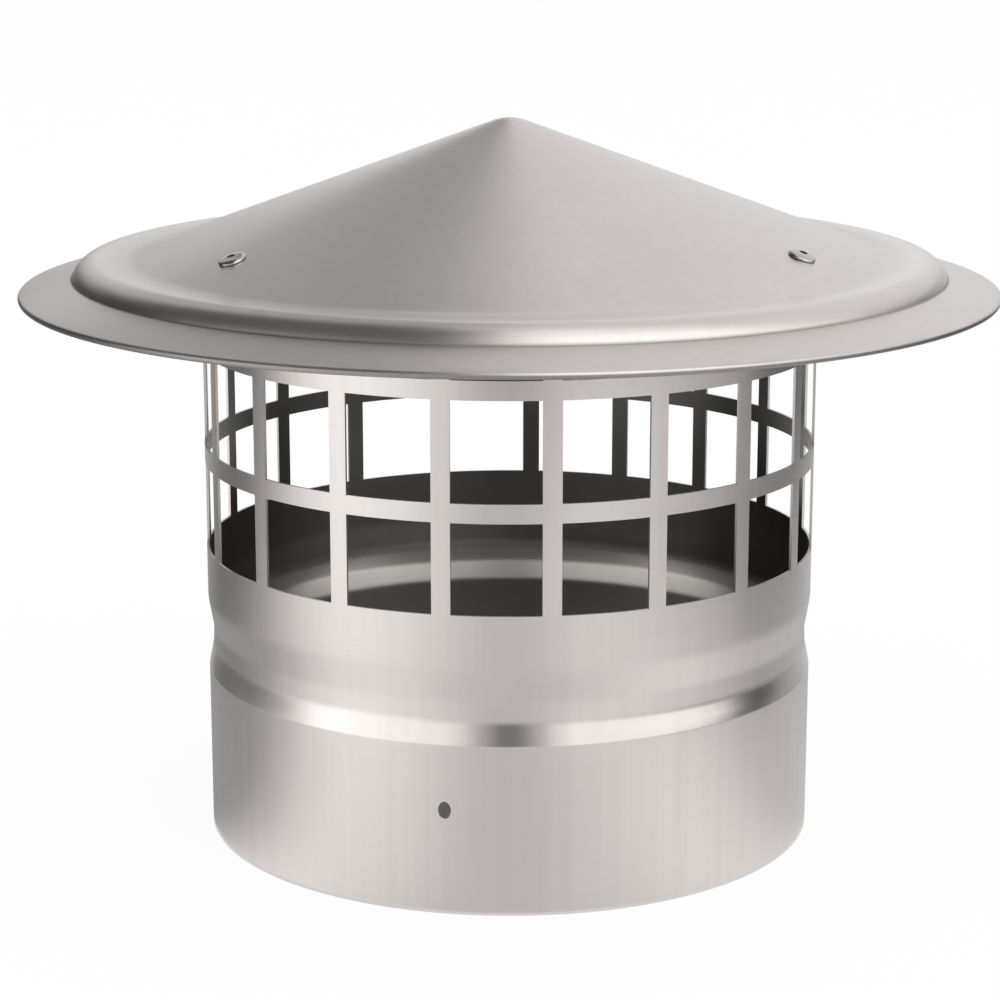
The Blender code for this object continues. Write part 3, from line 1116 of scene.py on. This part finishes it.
@dataclass
class Studio:
    """Floor, white surroundings, lamps and the grey tent that the steel reflects."""

    aim: Vector = field(default_factory=lambda: Vector((0.0, 0.0, 0.09)))
    surroundings: float = 0.9
    floor_size: float = 30.0
    floor_glow: float = 0.92
    floor_roughness: float = 0.8
    floor_colour: tuple[float, float, float, float] = (0.95, 0.95, 0.95, 1.0)
    collar_radius: float = 0.075
    softboxes: tuple[Softbox, ...] = (
        Softbox("softbox_left", -56.0, 0.85, 3.0, 1.7, 1.0),
        Softbox("softbox_right", 56.0, 0.85, 3.0, 1.7, 1.4),
    )
    tent: tuple[TentRing, ...] = (
        TentRing("floor_inside", ((0.002, 0.002), (0.07, 0.002)), (
            (-180, 0.1), (-150, 1.0), (-110, 1.0), (-85, 0.05), (85, 0.05), (110, 1.0), (150, 1.0),
            (180, 0.1))),
        TentRing("floor_near", ((0.0755, 0.0005), (0.2, 0.003)), (
            (-180, 0.5), (-90, 0.4), (-45, 1.1), (0, 0.7), (50, 1.0), (90, 0.7), (180, 0.5))),
        TentRing("floor_middle", ((0.2, 0.003), (0.42, 0.004)), (
            (-180, 0.8), (-120, 0.2), (-50, 1.2), (0, 0.8), (30, 0.9), (90, 0.4), (180, 0.8))),
        TentRing("floor_far", ((0.42, 0.004), (1.3, 0.005)), (
            (-180, 0.8), (-110, 0.2), (-60, 1.6), (0, 0.6), (30, 0.6), (80, 0.1), (120, 0.1),
            (180, 0.8))),
        TentRing("wall_low", ((1.3, 0.005), (1.42, 0.03), (1.42, 0.36)), (
            (-180, 1.0), (-145, 0.05), (-100, 0.05), (-70, 1.6), (-25, 1.3), (0, 0.2), (25, 1.3),
            (80, 1.5), (110, 0.05), (180, 1.0))),
        TentRing("wall_high", ((1.42, 0.36), (1.42, 0.72)), (
            (-180, 0.9), (-160, 0.7), (-125, 0.05), (-15, 0.05), (10, 1.5), (75, 1.5), (100, 0.8),
            (180, 0.9))),
        TentRing("roof_low", ((1.42, 0.72), (1.28, 1.62)), (
            (-180, 0.9), (-170, 0.4), (-145, 0.6), (-120, 0.1), (-20, 0.1), (15, 1.8), (55, 1.7),
            (80, 0.9), (180, 0.9))),
        TentRing("roof_high", ((1.28, 1.62), (0.85, 1.95), (0.3, 2.1)), (
            (-180, 0.4), (-150, 0.5), (-115, 0.1), (-20, 0.1), (10, 1.4), (60, 1.3), (80, 0.8),
            (180, 0.8))),
    )

    def build_world(self) -> None:
        """Makes the surroundings an even white, at full strength where the camera sees them."""
        world = bpy.data.worlds.new("white_surroundings")
        world.use_nodes = True
        nodes = world.node_tree.nodes
        paths = nodes.new("ShaderNodeLightPath")
        level = nodes.new("ShaderNodeMapRange")
        level.inputs["To Min"].default_value = self.surroundings
        level.inputs["To Max"].default_value = 1.0
        world.node_tree.links.new(paths.outputs["Is Camera Ray"], level.inputs["Value"])
        background = nodes["Background"]
        background.inputs["Color"].default_value = (1.0, 1.0, 1.0, 1.0)
        world.node_tree.links.new(level.outputs["Result"], background.inputs["Strength"])
        bpy.context.scene.world = world

    def build_floor(self) -> None:
        """Lays the pale floor, which keeps a faint shadow and glows only outside the collar."""
        shape = bmesh.new()
        bmesh.ops.create_grid(shape, x_segments=1, y_segments=1, size=self.floor_size / 2)
        material = bpy.data.materials.new("pale_floor")
        wiring = Wiring(material)
        wiring.shader.inputs["Base Color"].default_value = self.floor_colour
        wiring.shader.inputs["Roughness"].default_value = self.floor_roughness
        wiring.shader.inputs["Specular IOR Level"].default_value = 0.0
        glow = wiring.nodes.new("ShaderNodeEmission")
        paths = wiring.nodes.new("ShaderNodeLightPath").outputs
        seen = wiring.math("MAXIMUM", paths["Is Camera Ray"], paths["Is Glossy Ray"])
        seen = wiring.math("MAXIMUM", seen, paths["Is Transmission Ray"])
        outside = wiring.math("GREATER_THAN", wiring.measured(Measure.RADIUS), self.collar_radius)
        level = wiring.math("MULTIPLY", outside, self.floor_glow)
        mix = wiring.nodes.new("ShaderNodeMixShader")
        wiring.link(wiring.math("MULTIPLY", seen, level), mix.inputs["Fac"])
        wiring.link(wiring.shader.outputs["BSDF"], mix.inputs[1])
        wiring.link(glow.outputs["Emission"], mix.inputs[2])
        wiring.link(mix.outputs["Shader"], wiring.nodes["Material Output"].inputs["Surface"])
        floor = new_piece("floor", shape, [material])

    def turned_to_cap(self, heading_deg: float, distance: float, height: float) -> Matrix:
        """Place of something round the table that faces the cap with its -Z.

        Args:
            heading_deg: Azimuth of the place.
            distance: Distance from the axis.
            height: Height of its middle.

        Returns:
            The place.
        """
        spot = at_azimuth(distance, math.radians(heading_deg), height)
        turn = (self.aim - spot).to_track_quat("-Z", "Y").to_matrix().to_4x4()
        return Matrix.Translation(spot) @ turn

    def build_softbox(self, box: Softbox) -> None:
        """Sets up one soft lamp."""
        lamp = bpy.data.lights.new(box.name, "AREA")
        lamp.shape = "RECTANGLE"
        lamp.size = box.width
        lamp.size_y = box.tall
        lamp.energy = box.radiance * math.pi * box.width * box.tall
        thing = bpy.data.objects.new(box.name, lamp)
        thing.matrix_world = self.turned_to_cap(box.heading_deg, box.distance, box.height)
        thing.visible_glossy = False
        bpy.context.scene.collection.objects.link(thing)

    def build(self) -> None:
        """Sets up the whole studio."""
        self.build_world()
        self.build_floor()
        for box in self.softboxes:
            self.build_softbox(box)
        for ring in self.tent:
            ring.build()
        bpy.context.scene.view_settings.view_transform = "Standard"


@dataclass
class Viewpoint:
    """The camera, a little above the cap and looking down at it."""

    location: Vector = field(default_factory=lambda: Vector((-0.0023, -0.6779, 0.2404)))
    pitch_deg: float = 13.29
    focal_pixels: float = 2800.0
    frame_pixels: float = 1000.0
    sensor_width: float = 36.0

    def build(self) -> None:
        """Makes the camera and puts it in use."""
        camera = bpy.data.cameras.new("camera")
        camera.sensor_width = self.sensor_width
        camera.lens = self.sensor_width * self.focal_pixels / self.frame_pixels
        thing = bpy.data.objects.new("camera", camera)
        tilt = Matrix.Rotation(math.radians(90.0 - self.pitch_deg), 4, "X")
        thing.matrix_world = Matrix.Translation(self.location) @ tilt
        bpy.context.scene.collection.objects.link(thing)
        bpy.context.scene.camera = thing


def main() -> None:
    """Builds the dressed chimney cap, the studio and the camera."""
    logging.basicConfig(level=logging.INFO, format="%(name)s: %(message)s")
    sheet = Sheet()
    Viewpoint().build()
    Hood(sheet).build()
    Collar(sheet).build()
    BlindRivets(sheet).build()
    Studio().build()


if __name__ == "__main__":
    main()
